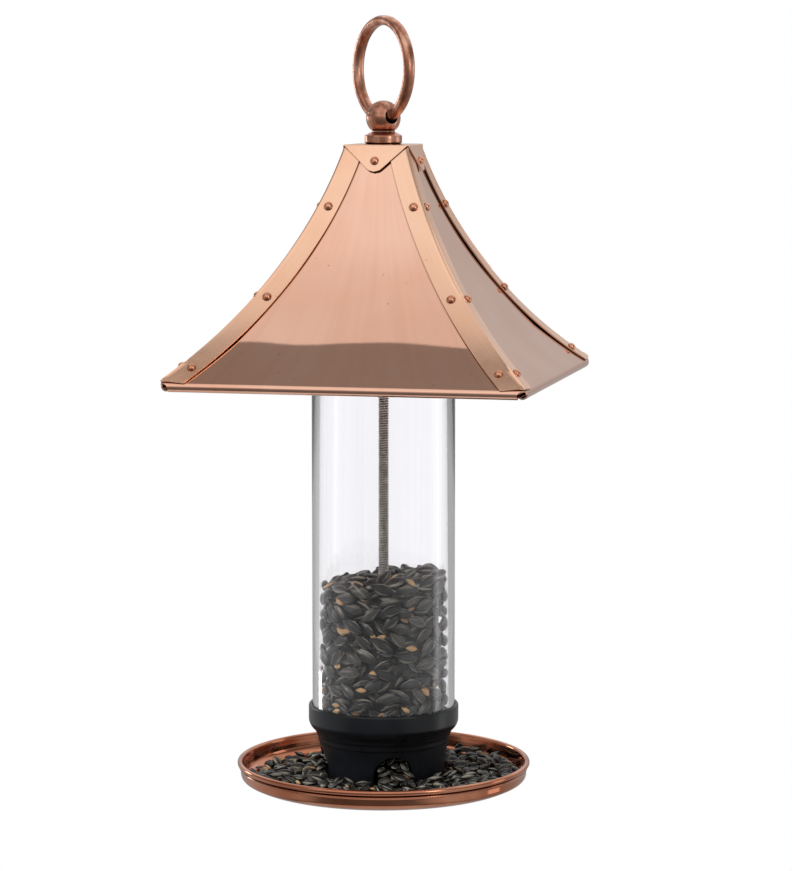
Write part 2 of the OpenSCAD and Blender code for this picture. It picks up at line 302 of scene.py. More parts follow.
def clearAcrylic(name):
    # Extruded acrylic tube: very clear and smooth, with faint upright draw lines
    # that read as slightly greyer streaks.
    material, tree, surface, coords = startMaterial(
        name, Roughness=0.0, IOR=1.49, Transmission_Weight=1.0)
    upright = stretched(tree, coords.outputs["Object"], (420.0, 420.0, 4.0))
    tint = addRamp(tree, addNoise(tree, upright, 1.0, 3.0),
                   [(0.32, hexColor("FAFAFC")), (0.55, hexColor("FEFDFF"))])
    tree.links.new(tint, surface.inputs["Base Color"])
    return material


def mouldedPlastic(name):
    # Injection-moulded black polypropylene: satin, with a fine spark-eroded texture
    # and faint flow lines round the body.
    material, tree, surface, coords = startMaterial(name, IOR=1.49, Specular_IOR_Level=0.35)
    place = coords.outputs["Object"]
    cloud = addNoise(tree, place, 60.0, 4.0)
    tint = addRamp(tree, cloud, [(0.3, hexColor("0F1114")), (0.75, hexColor("1A1D22"))])
    tree.links.new(tint, surface.inputs["Base Color"])
    roughBetween(tree, surface, cloud, 0.26, 0.36)
    flow = addNoise(tree, stretched(tree, place, (90.0, 90.0, 1400.0)), 1.0, 2.0)
    both = addNode(tree, "ShaderNodeMath", settings={"operation": "ADD"},
                   links={0: flow, 1: addNoise(tree, place, 2600.0, 1.0)})
    addRelief(tree, surface, both.outputs[0], 0.06)
    return material


def spunCopper(name, look):
    # Copper spun on a lathe: redder than the sheet, with fine tool rings round the axis.
    material, tree, surface, coords = startMaterial(name, Metallic=1.0)
    place = coords.outputs["Object"]
    parts = addNode(tree, "ShaderNodeSeparateXYZ", links={"Vector": place})
    flat = addNode(tree, "ShaderNodeCombineXYZ",
                   links={"X": parts.outputs["X"], "Y": parts.outputs["Y"]})
    radius = addNode(tree, "ShaderNodeVectorMath", settings={"operation": "LENGTH"},
                     links={0: flat.outputs[0]})
    ringPlace = addNode(tree, "ShaderNodeCombineXYZ",
                        links={"X": radius.outputs["Value"], "Y": parts.outputs["Z"]})
    rings = addNoise(tree, ringPlace.outputs[0], 1000 / look["ringMm"], 3.0)
    patches = addNoise(tree, place, 45.0, 4.0)
    tint = addRamp(tree, patches, [(0.3, hexColor(look["deep"])), (0.7, hexColor(look["light"]))])
    # painted shade in the tray's crevices, such as the curl of the rim and round the boss
    creviceShadeAndGrime(tree, surface, tint, look["seamShadeAndGrime"], 0.0015)
    roughBetween(tree, surface, patches, 0.08, 0.16)
    addRelief(tree, surface, rings, 0.07)
    return material


def seedHull(name):
    # Oil sunflower hulls: dry and nearly black, with pale edges and a few pale stripes
    # along their length, and now and then a tan scrap of broken hull.
    material, tree, surface, coords = startMaterial(name, Roughness=0.37, Specular_IOR_Level=0.34)
    tone = addNode(tree, "ShaderNodeAttribute", settings={"attribute_name": "seedTone"})
    edge = addNode(tree, "ShaderNodeAttribute", settings={"attribute_name": "seedEdge"})
    body = addRamp(tree, tone.outputs["Fac"],
                   [(0.0, hexColor("0B0B0B")), (0.45, hexColor("1B1A18")),
                    (0.84, hexColor("37342E")), (0.88, hexColor("9A6A3C")),
                    (1.0, hexColor("D9B078"))])
    shift = addNode(tree, "ShaderNodeVectorMath", settings={"operation": "ADD"},
                    links={0: stretched(tree, coords.outputs["UV"], (16.0, 1.1, 1.0)),
                           1: tone.outputs["Vector"]})
    stripes = addNoise(tree, shift.outputs[0], 1.0, 3.0)
    rim = addNode(tree, "ShaderNodeMath", settings={"operation": "MULTIPLY_ADD"},
                  values={1: 0.34}, links={0: edge.outputs["Fac"], 2: stripes})
    mask = addRamp(tree, rim.outputs[0], [(0.64, grey(0)), (0.86, grey(0.78))])
    tree.links.new(mixColors(tree, mask, body, "B0AB9C"), surface.inputs["Base Color"])
    addRelief(tree, surface, stripes, 0.4, 0.0003)
    return material


panelCopper = sheetCopper("polishedCopperSheet", copperLook)
# the strips and the cap were rubbed with a pad, so they are softer than the panels
edgeCopper = sheetCopper("rubbedCopperStrip", dict(copperLook, light="FFD2B4", deep="FAC09E",
                                                   roughLow=0.2, roughHigh=0.29))
rivetCopper = sheetCopper("drawnCopperRivet", dict(copperLook, light="E9A988", deep="C88464",
                                                   handlingMm=4.0, roughLow=0.1, roughHigh=0.2))
platedCopper = agedCopper("antiquedCopperPlating", agedLook)
# the tray's darkest colour (3E2218) is painted shade for its crevices
trayLook = {"light": "D49274", "deep": "AC6A4E", "seamShadeAndGrime": "3E2218", "ringMm": 1.1}
trayCopper = spunCopper("spunCopper", trayLook)
rodSteel = zincSteel("zincPlatedSteel")
tubeAcrylic = clearAcrylic("extrudedAcrylic")
baseBlack = mouldedPlastic("mouldedPolypropylene")
sunflowerHull = seedHull("sunflowerHull")
print("materials made")


# ring and finial

ringSize = {"meanRadius": 21.2, "thick": 4.3, "wide": 5.0, "squareness": 2.4,
            "direction": -45.0, "centre": -18.9}


def makeRing(v):
    # a cast ring whose section is a rounded square, slightly wider than thick
    bm = bmesh.new()
    made = bmesh.ops.create_circle(bm, cap_ends=False, segments=24, radius=1.0)
    for vert in made["verts"]:
        side, up = vert.co.x, vert.co.y
        grow = (abs(side) ** v["squareness"] + abs(up) ** v["squareness"]) ** (-1 / v["squareness"])
        vert.co = Vector((v["meanRadius"] + side * grow * v["thick"] / 2,
                          up * grow * v["wide"] / 2, 0))
    bmesh.ops.spin(bm, geom=bm.verts[:] + bm.edges[:], cent=(0, 0, 0), axis=(0, 1, 0),
                   dvec=(0, 0, 0), angle=math.tau, steps=120, use_merge=True,
                   use_duplicate=False)
    bmesh.ops.remove_doubles(bm, verts=bm.verts, dist=0.001)
    for vert in bm.verts:                     # hand-finished, so not quite even
        wobble = noise.noise(vert.co * 0.11) * 0.07
        vert.co += vert.co.normalized() * wobble
    bmesh.ops.rotate(bm, verts=bm.verts, cent=(0, 0, 0),
                     matrix=Matrix.Rotation(math.radians(v["direction"]), 3, "Z"))
    bmesh.ops.translate(bm, verts=bm.verts, vec=(0, 0, v["centre"]))
    return makePiece(bm, "hangingRing", platedCopper, "ring", ["hanging_ring"], 60)


finialSize = {"ballRadius": 7.6, "holeRadius": 3.15, "holeRise": 0.6, "footRadius": 8.2,
              "grooveRadius": 5.1, "footHeight": 3.7}


def makeFinial(v):
    z0 = levels["capTop"] + 0.05              # sits a hair clear of the cap
    ball = levels["ball"]
    corners = [(0, z0 + 6.2, 0), (0, z0, 0), (v["footRadius"] - 0.7, z0, 0.3),
               (v["footRadius"], z0 + 0.6, 0.3), (v["footRadius"], z0 + v["footHeight"], 0.35),
               (v["grooveRadius"] + 0.7, z0 + 5.0, 0.2), (v["grooveRadius"], z0 + 5.1, 0.2),
               (v["grooveRadius"], z0 + 6.0, 0.3)]
    points = roundCorners(corners)[1:]
    start = math.asin(-(ball - z0 - 6.35) / v["ballRadius"])
    for i in range(31):                       # the ball, from the groove to the top
        a = start + (math.pi / 2 - start) * i / 30
        dip = 0.16 if 12 <= i <= 13 else 0.0  # fine turned line round the middle
        points.append(Vector(((v["ballRadius"] - dip) * math.cos(a),
                              ball + (v["ballRadius"] - dip) * math.sin(a))))
    points[-1].x = 0
    bm = bmesh.new()
    lathe(bm, points, steps=72, closed=False)
    piece = makePiece(bm, "turnedFinial", platedCopper, "finial", ["finial"], 40)
    cutter = bmesh.new()
    bmesh.ops.create_cone(cutter, cap_ends=True, segments=40, radius1=v["holeRadius"],
                          radius2=v["holeRadius"], depth=40,
                          matrix=Matrix.Translation((0, 0, ball + v["holeRise"]))
                          @ Matrix.Rotation(math.radians(-45), 4, "Z")
                          @ Matrix.Rotation(math.radians(90), 4, "Y"))
    cutWith(piece, cutter)
    piece.data.shade_smooth()
    piece.data.set_sharp_from_angle(angle=math.radians(40))
    return piece


makeRing(ringSize)
makeFinial(finialSize)


# roof

roofSize = {"topHalf": 13.68, "sweep": 203.3, "topSlope": 16.56, "sheet": 0.7, "panelIn": 0.9,
            "sagDrop": 81.0, "sag": 0.5, "rise": 0.55, "sweepEnd": 98.6, "rollRadius": 2.3,
            "rollTurn": 290.0, "mitreGap": 0.25, "rollGap": 2.9, "waviness": 0.14}
stripSize = {"wideTop": 8.6, "wideLow": 11.4, "start": 0.9, "end": 98.4, "endSlant": 0.6,
             "sheet": 0.6, "lifts": (0.05, 0.22, 0.08, 0.0), "fold": 0.5,
             "bulges": (0.1, -0.3, 0.0, -0.1)}
rivetSize = {"head": 1.9, "height": 1.55, "shank": 1.2,
             "drops": (26.5, 64.5, 93.2), "insets": (4.7, 5.9, 6.3),
             "rises": (0.1, 0.15, 0.05)}
capSize = {"flap": 11.5, "tip": 4.8, "rivetDrop": 7.2, "lift": 0.8}


def slopeAt(drop):
    return math.asin(math.sin(math.radians(roofSize["topSlope"])) + drop / roofSize["sweep"])


def sweptPoint(drop, lift=0.0):
    # (distance out, height) of the hip line at a drop below the cap, lifted square to it
    slope = slopeAt(drop)
    first = math.radians(roofSize["topSlope"])
    out = roofSize["topHalf"] + roofSize["sweep"] * (math.cos(first) - math.cos(slope))
    return (out + lift * math.cos(slope),
            levels["capTop"] - drop + lift * math.sin(slope))


def turnToSide(bm, side):
    bmesh.ops.rotate(bm, verts=bm.verts, cent=(0, 0, 0),
                     matrix=Matrix.Rotation(math.radians(90 * side), 3, "Z"))


def panelSection(v, sagDrop):
    # the sheet's outer line from under the cap to the end of its rolled edge;
    # it sags a little above the roll, where the sheet was bent to meet it
    line = []
    for i in range(61):
        drop = 1.0 + (v["sweepEnd"] - 1.0) * i / 60
        if drop < sagDrop:
            t = max(0, (drop - sagDrop + 22) / 22)
            inward = v["panelIn"] + v["sag"] * t ** 1.5
        else:
            t = (drop - sagDrop) / (v["sweepEnd"] - sagDrop)
            inward = v["panelIn"] + v["sag"] - v["rise"] * t
        line.append(Vector(sweptPoint(drop, -inward)))
    heading = slopeAt(v["sweepEnd"])
    place = line[-1].copy()
    rollStep = math.radians(v["rollTurn"]) / 27
    for i in range(27):
        heading -= rollStep / 2
        place = place + Vector((math.sin(heading), -math.cos(heading))) \
            * v["rollRadius"] * rollStep
        heading -= rollStep / 2
        line.append(place)
    return line


def makePanel(side, name, v):
    rows = 87
    lines = {}
    bm = bmesh.new()
    bm.loops.layers.uv.new("sheetMap")
    bmesh.ops.create_grid(bm, x_segments=40, y_segments=rows, size=0.5, calc_uvs=True)
    for vert in bm.verts:
        across = math.copysign(1 - (1 - abs(vert.co.x * 2)) ** 1.6, vert.co.x)
        row = min(rows, max(0, round((0.5 - vert.co.y) * rows)))
        if across not in lines:
            bend = noise.noise(Vector((across * 1.6 + 4, side * 3.0, 0))) * 3 + across ** 2 * 2
            lines[across] = panelSection(v, v["sagDrop"] + bend)
        line = lines[across]
        out, height = line[row]
        wave = noise.noise(Vector((across * 2.1 + side * 5, height * 0.035, side))) * v["waviness"]
        wave *= (1 - across * across) * min(1, (rows - row) / 45)
        slope = slopeAt(min(row, 60) / 60 * v["sweepEnd"])
        gap = v["mitreGap"] + v["rollGap"] * min(1, max(0, row - 60) / 5) ** 0.5
        wide = line[row][0] if row <= 60 else line[60][0]
        vert.co = Vector((across * (wide - gap), -out - wave * math.cos(slope),
                          height + wave * math.sin(slope)))
    turnToSide(bm, side)
    piece = makePiece(bm, name, panelCopper, "roof",
                      ["roof_panel_" + name[9:].lower()], turnOut=False)
    return thicken(piece, v["sheet"])


for side, word in enumerate(("Front", "Right", "Back", "Left")):
    makePanel(side, "roofPanel" + word, roofSize)


def makeStrip(hip, name, node, v):
    # a strip folded along the hip, its wings lying on the panels between the rivets
    rows, wing = 110, 8
    stops = (v["start"],) + rivetSize["drops"] + (v["end"],)
    bm = bmesh.new()
    bm.loops.layers.uv.new("sheetMap")
    bmesh.ops.create_grid(bm, x_segments=wing * 2, y_segments=rows, size=0.5, calc_uvs=True)
    for vert in bm.verts:
        across = vert.co.x * 2
        end = v["end"] + v["endSlant"] * abs(across)
        drop = v["start"] + (0.5 - vert.co.y) * (end - v["start"])
        width = v["wideTop"] + (v["wideLow"] - v["wideTop"]) * drop / v["end"]
        span = min(3, sum(1 for s in stops[1:-1] if drop > s))
        t = (drop - stops[span]) / (stops[span + 1] - stops[span])
        lift = v["lifts"][span] * math.sin(math.pi * t) ** 2 * abs(across) ** 2
        lift *= 0.75 + 0.5 * noise.noise(Vector((hip * 3.1 + (across > 0) * 1.7, drop * 0.03, 1)))
        if drop > 50:                         # low down a strip stands off or was pressed in
            grow = min(1, (drop - 50) / 28)
            fall = max(0, (drop - 78) / (end - 78)) ** 1.6
            lift += v["bulges"][hip] * (grow * grow * (3 - 2 * grow) - fall) \
                * (1 - 0.3 * abs(across))
        out, height = sweptPoint(drop, lift)
        ridge, _ = sweptPoint(drop, lift * 0.5)
        along = ridge - abs(across) * width
        if across <= 0:
            vert.co = Vector((along, -out, height))
        else:
            vert.co = Vector((out, -along, height))
    ridges = [e for e in bm.edges
              if all(abs(p.co.x + p.co.y) < 0.02 for p in e.verts)]
    bmesh.ops.bevel(bm, geom=ridges, offset=v["fold"], offset_type="OFFSET", segments=4,
                    profile=0.5, affect="EDGES", material=-1)
    turnToSide(bm, hip)
    piece = makePiece(bm, name, edgeCopper, "roof", [node], turnOut=False)
    return thicken(piece, v["sheet"])


def placeOnSide(side, across, drop, lift):
    # matrix with Z out of the roof at a place on one side
    out, height = sweptPoint(drop, lift)
    slope = slopeAt(drop)
    normal = Vector((0, -math.cos(slope), math.sin(slope)))
    turned = normal.to_track_quat("Z", "Y").to_matrix().to_4x4()
    return (Matrix.Rotation(math.radians(90 * side), 4, "Z")
            @ Matrix.Translation((across, -out, height)) @ turned)


def addRivet(bm, matrix, through):
    # domed head, shank and the flattened tail inside the roof
    v = rivetSize
    dome = [(v["head"] * math.cos(a), v["height"] * math.sin(a))
            for a in [math.radians(d) for d in (90, 75, 60, 46, 32, 18, 7)]]
    points = [(0.0, dome[0][1])] + dome[1:] + [(v["head"] + 0.05, 0.0), (v["shank"], -0.02),
              (v["shank"], -through), (v["shank"] + 0.55, -through - 0.1),
              (v["shank"] + 0.4, -through - 0.55), (0.0, -through - 0.7)]
    before = set(bm.verts)
    verts = [bm.verts.new((r, 0, z)) for r, z in points]
    edges = [bm.edges.new(pair) for pair in zip(verts, verts[1:])]
    bmesh.ops.spin(bm, geom=verts + edges, cent=(0, 0, 0), axis=(0, 0, 1), dvec=(0, 0, 0),
                   angle=math.tau, steps=18, use_merge=True, use_duplicate=False)
    fresh = [p for p in bm.verts if p not in before]
    bmesh.ops.remove_doubles(bm, verts=fresh, dist=0.001)
    fresh = [p for p in bm.verts if p not in before]
    bmesh.ops.transform(bm, matrix=matrix, verts=fresh)


hips = {"FrontRight": "front_right", "BackRight": "back_right",
        "BackLeft": "back_left", "FrontLeft": "front_left"}
for hip, (word, tail) in enumerate(hips.items()):
    makeStrip(hip, "hipStrip" + word, "hip_strip_" + tail, stripSize)
    bm = bmesh.new()
    for drop, inset, rise in zip(rivetSize["drops"], rivetSize["insets"], rivetSize["rises"]):
        half, _ = sweptPoint(drop)
        addRivet(bm, placeOnSide(hip, half - inset, drop, rise), 1.9)
        addRivet(bm, placeOnSide(hip + 1, inset - half, drop, rise), 1.9)
    makePiece(bm, "hipRivets" + word, rivetCopper, "roof",
              ["hip_rivets_" + tail], 50)


def makeCap(v):
    # square plate with a tongue folded down each side
    corner = sweptPoint(0, v["lift"])[0]
    tipCentre = v["flap"] - v["tip"]
    reach = math.hypot(corner, tipCentre)
    lean = math.atan2(tipCentre, corner) - math.acos(v["tip"] / reach)
    touch = (v["tip"] * math.cos(lean), tipCentre - v["tip"] * math.sin(lean))
    columns, rows = 16, 26
    bm = bmesh.new()
    bm.loops.layers.uv.new("sheetMap")
    for side in range(4):
        made = bmesh.ops.create_grid(bm, x_segments=columns, y_segments=rows, size=0.5,
                                     calc_uvs=True)
        for vert in made["verts"]:
            drop = (0.5 - vert.co.y) * v["flap"]
            if drop < touch[1]:
                half = corner + (touch[0] - corner) * drop / touch[1]
            else:
                half = math.sqrt(max(0, v["tip"] ** 2 - (drop - tipCentre) ** 2))
            out, height = sweptPoint(drop, v["lift"])
            vert.co = Vector((vert.co.x * 2 * half, -out, height - v["lift"] * 0.3))
        bmesh.ops.rotate(bm, verts=made["verts"], cent=(0, 0, 0),
                         matrix=Matrix.Rotation(math.radians(90 * side), 3, "Z"))
    top = max(p.co.z for p in bm.verts)
    made = bmesh.ops.create_grid(bm, x_segments=columns, y_segments=columns, size=corner,
                                 matrix=Matrix.Translation((0, 0, top)))
    bmesh.ops.remove_doubles(bm, verts=bm.verts, dist=0.02)
    folds = [e for e in bm.edges if len(e.link_faces) == 2
             and e.calc_face_angle(0) > math.radians(50)]
    bmesh.ops.bevel(bm, geom=folds, offset=0.45, offset_type="OFFSET", segments=3,
                    profile=0.5, affect="EDGES", material=-1)
    bmesh.ops.translate(bm, verts=bm.verts, vec=(0, 0, levels["capTop"] - top))
    piece = makePiece(bm, "roofCap", edgeCopper, "roof", ["roof_cap"], turnOut=False)
    return thicken(piece, 0.62)


makeCap(capSize)
bm = bmesh.new()
for side in range(4):
    addRivet(bm, placeOnSide(side, 0, capSize["rivetDrop"], capSize["lift"] - 0.2), 2.3)
makePiece(bm, "capRivets", rivetCopper, "roof", ["cap_rivets"], 50)


# rod, nuts and washers

rodSize = {"radius": 2.413, "root": 1.88, "pitch": 1.058, "top": -44.8, "low": -335.3}


def makeRod(v):
    # one vee of thread screwed up the whole rod, with the ends closed
    turns = int((v["top"] - v["low"]) / v["pitch"]) - 1
    bm = bmesh.new()
    vee = [(v["root"], 0), (v["radius"], 0.42), (v["radius"], 0.58), (v["root"], 1)]
    verts = [bm.verts.new((r, 0, v["low"] + 0.3 + t * v["pitch"])) for r, t in vee]
    for pair in zip(verts, verts[1:]):
        bm.edges.new(pair)
    piece = makePiece(bm, "threadedRod", rodSteel, "feeder", ["center_rod"], 50)
    addModifier(piece, "SCREW", screw_offset=v["pitch"] / 1000, iterations=turns, steps=18,
                render_steps=18, use_merge_vertices=False)
    bake(piece)
    bm = bmesh.new()
    bm.from_mesh(piece.data)
    bmesh.ops.remove_doubles(bm, verts=bm.verts, dist=0.00001)
    bmesh.ops.holes_fill(bm, edges=[e for e in bm.edges if e.is_boundary], sides=0)
    bmesh.ops.recalc_face_normals(bm, faces=bm.faces)
    bm.to_mesh(piece.data)
    bm.free()
    piece.data.shade_smooth()
    piece.data.set_sharp_from_angle(angle=math.radians(50))
    return piece


nutSize = {"flats": 9.5, "height": 3.2, "bore": 2.42}


def makeNut(name, node, seat):
    v = nutSize
    bm = bmesh.new()
    made = bmesh.ops.create_cone(bm, cap_ends=True, segments=6,
                                 radius1=v["flats"] / 2 / math.cos(math.pi / 6),
                                 radius2=v["flats"] / 2 / math.cos(math.pi / 6),
                                 depth=v["height"])
    bmesh.ops.bevel(bm, geom=[e for e in bm.edges if abs(e.verts[0].co.z - e.verts[1].co.z) < 0.1],
                    offset=0.35, offset_type="OFFSET", segments=2, profile=0.5,
                    affect="EDGES", material=-1)
    bmesh.ops.translate(bm, verts=bm.verts, vec=(0, 0, seat - v["height"] / 2))
    piece = makePiece(bm, name, rodSteel, "feeder", [node], 30)
    cutter = bmesh.new()
    bmesh.ops.create_cone(cutter, cap_ends=True, segments=32, radius1=v["bore"],
                          radius2=v["bore"], depth=9, matrix=Matrix.Translation((0, 0, seat)))
    cutWith(piece, cutter)
    return piece


washerSize = {"hole": 2.5, "radius": 6.4, "sheet": 1.0}


def makeWasher(name, node, top):
    v = washerSize
    low = top - v["sheet"]
    corners = [(v["hole"], top, 0.15), (v["radius"], top, 0.25),
               (v["radius"], low, 0.25), (v["hole"], low, 0.15)]
    bm = bmesh.new()
    lathe(bm, roundCorners(corners, 2), steps=48)
    return makePiece(bm, name, rodSteel, "feeder", [node])


makeRod(rodSize)
makeWasher("seatWasher", "roof_seat_washer", levels["capTop"] - 0.7)
makeNut("seatNut", "roof_seat_nut", levels["capTop"] - 1.7)
makeWasher("trayWasher", "tray_washer", levels["baseFoot"] + 5.3)
makeNut("trayNut", "tray_nut", levels["baseFoot"] + 4.3)


# tube, base and tray

tubeSize = {"outer": 31.75, "wall": 3.175, "above": 186.0, "seat": 10.2}


def makeTube(v):
    low, high = levels["collarTop"] - v["seat"], levels["collarTop"] + v["above"]
    inner = v["outer"] - v["wall"]
    corners = [(inner, low, 0.2), (v["outer"], low, 0.2), (v["outer"], high, 0.35),
               (inner, high, 0.35)]
    bm = bmesh.new()
    lathe(bm, roundCorners(corners, 3), steps=160)
    return makePiece(bm, "seedTube", tubeAcrylic, "feeder", ["feed_tube"])


baseSize = {"portDirection": 22.5, "portWide": 17.5, "portTop": 19.0, "sill": 3.0}


def makeBase(v):
    top = levels["collarTop"]
    corners = [(31.9, 0, 0.3), (33.1, 0, 0.35), (33.45, -0.6, 0.3), (33.45, -7.6, 1.6),
               (32.6, -9.6, 1.2), (30.4, -12.0, 0.5), (30.1, -13.2, 0.5), (29.3, -14.2, 0.4),
               (29.15, -16.3, 0.3), (28.6, -16.9, 0.3), (27.9, -25, 0), (27.0, -35, 0.4),
               (24.2, -35, 0.4), (26.2, -15, 1.0), (28.3, -10.2, 0.2), (31.9, -10.2, 0.2)]
    bm = bmesh.new()
    lathe(bm, roundCorners([(r, top + z, f) for r, z, f in corners]), steps=128)
    piece = makePiece(bm, "portedBase", baseBlack, "feeder", ["feeder_base"])
    cutter = bmesh.new()
    spring = v["portTop"] + v["portWide"] / 2
    for k in range(4):
        # an arch: a round top over a straight-sided foot
        turn = Matrix.Rotation(math.radians(v["portDirection"] + 90 * k), 4, "Z")
        arch = bmesh.ops.create_circle(cutter, cap_ends=True, segments=48,
                                       radius=v["portWide"] / 2,
                                       matrix=Matrix.Translation((0, -12, 0))
                                       @ Matrix.Rotation(math.radians(90), 4, "X"))
        for vert in arch["verts"]:
            if vert.co.z < -0.01:
                vert.co.x = math.copysign(v["portWide"] / 2, vert.co.x) \
                    if abs(vert.co.x) > 0.01 else 0
                vert.co.z = -(35 - v["sill"] - spring)
        face = list({f for p in arch["verts"] for f in p.link_faces})
        pushed = bmesh.ops.extrude_face_region(cutter, geom=face)
        moved = [g for g in pushed["geom"] if isinstance(g, bmesh.types.BMVert)]
        bmesh.ops.translate(cutter, verts=moved, vec=(0, -30, 0))
        block = list(set(arch["verts"]) | set(moved))
        bmesh.ops.transform(cutter, matrix=turn @ Matrix.Translation((0, 0, top - spring)),
                            verts=block)
    bmesh.ops.remove_doubles(cutter, verts=cutter.verts, dist=0.001)
    cutWith(piece, cutter)
    addModifier(piece, "BEVEL", width=0.0003, segments=2, limit_method="ANGLE",
                angle_limit=math.radians(50), profile=0.5)
    bake(piece)
    piece.data.shade_smooth()
    piece.data.set_sharp_from_angle(angle=math.radians(38))
    return piece


hubSize = {"bore": 2.5, "radius": 7, "below": 24, "foot": 6, "webCentre": 15.6,
           "webLong": 18.6, "webThick": 2.5}


def makeHub(v):
    # hub round the rod and the four webs that carry it
    top, low = levels["collarTop"] - v["below"], levels["baseFoot"] + v["foot"]
    bm = bmesh.new()
    lathe(bm, roundCorners([(v["bore"], top, 0.2), (v["radius"], top, 0.6),
                            (v["radius"], low, 0.2), (v["bore"], low, 0.2)]), steps=48)
    for k in range(4):
        turn = Matrix.Rotation(math.radians(baseSize["portDirection"] + 45 + 90 * k), 4, "Z")
        web = bmesh.ops.create_cube(bm, size=1.0, matrix=turn
                                    @ Matrix.Translation((v["webCentre"], 0, (top + low) / 2))
                                    @ Matrix.Diagonal((v["webLong"], v["webThick"], top - low, 1)))
        edges = list({e for p in web["verts"] for e in p.link_edges})
        bmesh.ops.bevel(bm, geom=edges, offset=0.3, offset_type="OFFSET", segments=2,
                        profile=0.5, affect="EDGES", material=-1)
    return makePiece(bm, "baseHub", baseBlack, "feeder")


traySize = {"radius": 65.4, "bead": 1.2, "beadDrop": 26.55, "floor": 58.6, "boss": 13.0,
            "bossHigh": 6.0, "sheet": 0.7}


def makeTray(v):
    foot = levels["baseFoot"]
    rim = levels["collarTop"] - v["beadDrop"]
    t = v["sheet"]
    wall = v["radius"] - v["bead"] * 2 + 0.35
    inner = [(2.5, foot + v["bossHigh"], 0), (v["boss"] - 2.5, foot + v["bossHigh"], 1.2),
             (v["boss"], foot + 0.4, 0.8), (v["boss"] + 1.2, foot, 0.8),
             (v["floor"] - 1.0, foot, 2.5), (wall - 1.0, foot + 2.4, 2.0)]
    outer = [(wall - 0.2 + t, foot + 2.0, 2.2), (v["floor"] - 0.4, foot - t, 2.6),
             (v["boss"] + 1.0, foot - t, 0.8), (v["boss"] - t, foot, 0.8),
             (v["boss"] - 2.5 - t, foot + v["bossHigh"] - t, 0.9),
             (2.5, foot + v["bossHigh"] - t, 0)]
    bead = []
    centre = Vector((v["radius"] - v["bead"], rim))
    for i in range(19):                       # the rim is curled outwards and under
        a = math.radians(178 - i * 17.2)
        bead.append((centre.x + v["bead"] * math.cos(a), centre.y + v["bead"] * math.sin(a), 0))
    bead += [(wall + t + 0.05, rim - v["bead"] - 0.5, 0.2),
             (wall + t + 0.45, rim - v["bead"] - 1.0, 0.2),
             (wall + t - 0.05, rim - v["bead"] - 1.7, 0.3)]
    bm = bmesh.new()
    lathe(bm, roundCorners(inner + bead + outer), steps=160)
    return makePiece(bm, "spunTray", trayCopper, "feeder", ["tray"], 50)


makeTube(tubeSize)
makeBase(baseSize)
makeHub(hubSize)
makeTray(traySize)


# seed

seedSize = {"tubeLong": (8.8, 11.6), "trayLong": (6.4, 8.4), "wide": 0.5, "thick": 0.34,
            "grid": 0.8, "scraps": 0.07, "heap": 58.6, "lean": 13.37}


def layField(width, depth, wrap=False):
    # height map the seed is laid on; x may wrap round, as on the tube's wall
    cell = seedSize["grid"]
    shape = (int(width / cell), int(depth / cell))
    return {"height": np.zeros(shape), "blocked": np.zeros(shape, bool), "wrap": wrap,
            "width": width, "depth": depth}


def laySeed(field, dice, spots, tries, long, yawSpread=math.pi, press=0.84):
    # tries a few places and lays one seed where it comes to rest lowest
    cell = seedSize["grid"]
    tone = dice.random() * 0.84
    length = dice.uniform(*long)
    if dice.random() < seedSize["scraps"]:    # a scrap of broken hull
        tone, length = dice.uniform(0.9, 1.0), length * 0.5
    a, b, c = length / 2, length * seedSize["wide"] / 2, length * seedSize["thick"] / 2
    reach = int(a / cell) + 1
    best = None
    for _ in range(tries):
        x, y = spots(dice)
        yaw = dice.uniform(-yawSpread, yawSpread)
        i0, j0 = int(x / cell), int(y / cell)
        ii, jj = np.meshgrid(np.arange(i0 - reach, i0 + reach + 1),
                             np.arange(j0 - reach, j0 + reach + 1), indexing="ij")
        dx, dy = (ii + 0.5) * cell - x, (jj + 0.5) * cell - y
        p = dx * math.cos(yaw) + dy * math.sin(yaw)
        q = -dx * math.sin(yaw) + dy * math.cos(yaw)
        far = (p / a) ** 2 + (q / b) ** 2
        inside = far < 1
        if inside.sum() < 4:
            continue
        ii, jj, dx, dy, far = ii[inside], jj[inside], dx[inside], dy[inside], far[inside]
        if field["wrap"]:
            ii = ii % field["height"].shape[0]
        elif ii.min() < 0 or ii.max() >= field["height"].shape[0]:
            continue
        if jj.min() < 0 or jj.max() >= field["height"].shape[1] or field["blocked"][ii, jj].any():
            continue
        under = field["height"][ii, jj]
        base = np.stack([dx, dy, np.ones_like(dx)], 1)
        sx, sy, _ = np.linalg.lstsq(base, under, rcond=None)[0]
        steep = math.hypot(sx, sy)
        if steep > 0.7:
            sx, sy = sx * 0.7 / steep, sy * 0.7 / steep
        belly = c * np.sqrt(1 - far)
        plane = sx * dx + sy * dy
        rest = float((under - plane + belly * press).max())
        if best is None or rest < best["rest"]:
            best = {"rest": rest, "x": x, "y": y, "yaw": yaw, "sx": sx, "sy": sy,
                    "cells": (ii, jj), "top": rest + plane + belly, "size": (a, b, c), "tone": tone}
    return best


def pressDown(field, seed):
    ii, jj = seed["cells"]
    field["height"][ii, jj] = np.maximum(field["height"][ii, jj], seed["top"])


def localMatrix(seed):
    normal = Vector((-seed["sx"], -seed["sy"], 1)).normalized()
    along = Vector((math.cos(seed["yaw"]), math.sin(seed["yaw"]), 0))
    along = (along - normal * along.dot(normal)).normalized()
    side = normal.cross(along)
    return Matrix((along, side, normal)).transposed().to_4x4()


